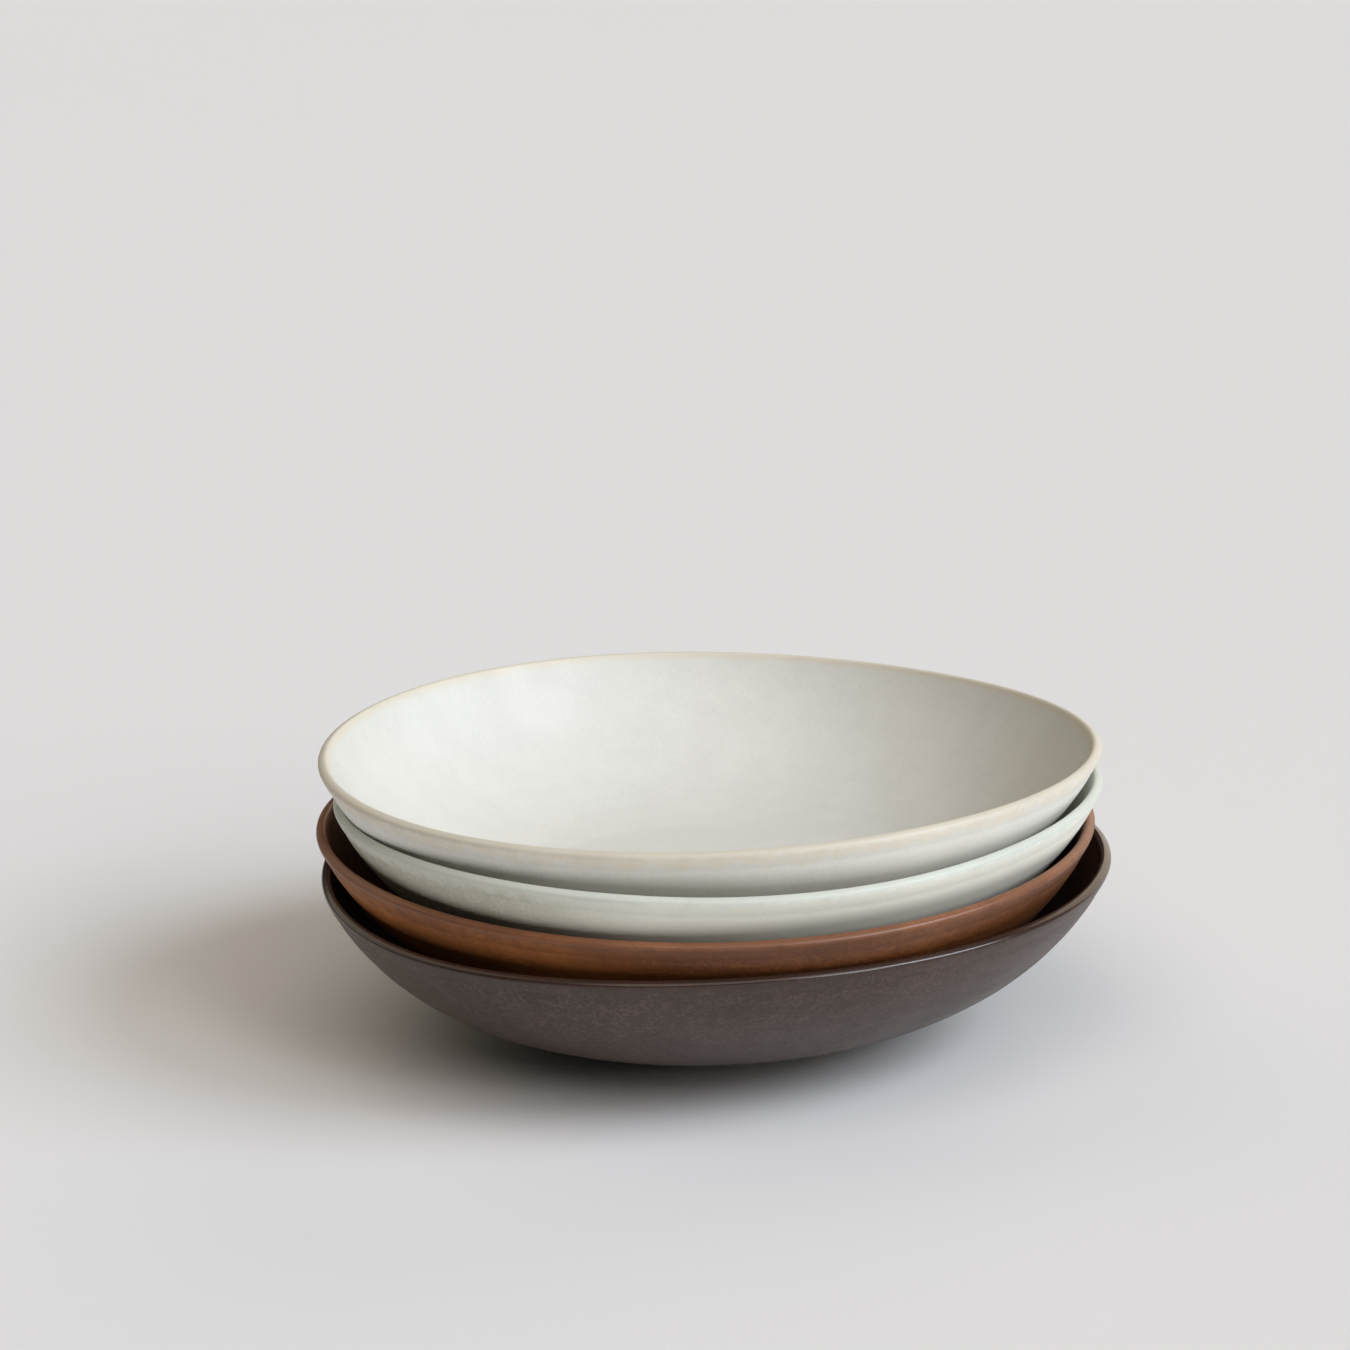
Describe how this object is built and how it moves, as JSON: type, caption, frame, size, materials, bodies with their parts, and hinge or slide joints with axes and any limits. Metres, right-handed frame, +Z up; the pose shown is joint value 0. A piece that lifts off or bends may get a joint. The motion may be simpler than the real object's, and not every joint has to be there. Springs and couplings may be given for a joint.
{
  "type": "nested bowl stack",
  "caption": "Shallow round coupe bowls with foot rings, nested in a stack that stands on a table; each lifts straight out.",
  "frame": {"origin": "centre of the bottom bowl's foot ring, on the table", "axes": "+Z up the stack, out of the bowls' mouths; X and Y lie on the table, and each bowl's lean is given about them"},
  "size_m": [0.2118, 0.2118, 0.08],
  "materials": {
    "dark_glaze": "satin",
    "brown_glaze": "satin",
    "sage_glaze": "satin",
    "cream_glaze": "satin"
  },
  "bodies": {
    "dark": {"dark_bowl": "dark_glaze"},
    "brown": {"brown_bowl": "brown_glaze"},
    "sage": {"sage_bowl": "sage_glaze"},
    "cream": {"cream_bowl": "cream_glaze"}
  },
  "joints": [
    {"name": "brown_lift", "type": "slide", "parent": "dark", "child": "brown", "axis": [0, 0, 1], "range_m": [0, 0.05]},
    {"name": "sage_lift", "type": "slide", "parent": "brown", "child": "sage", "axis": [0, 0, 1], "range_m": [0, 0.05]},
    {"name": "cream_lift", "type": "slide", "parent": "sage", "child": "cream", "axis": [0, 0, 1], "range_m": [0, 0.05]}
  ]
}
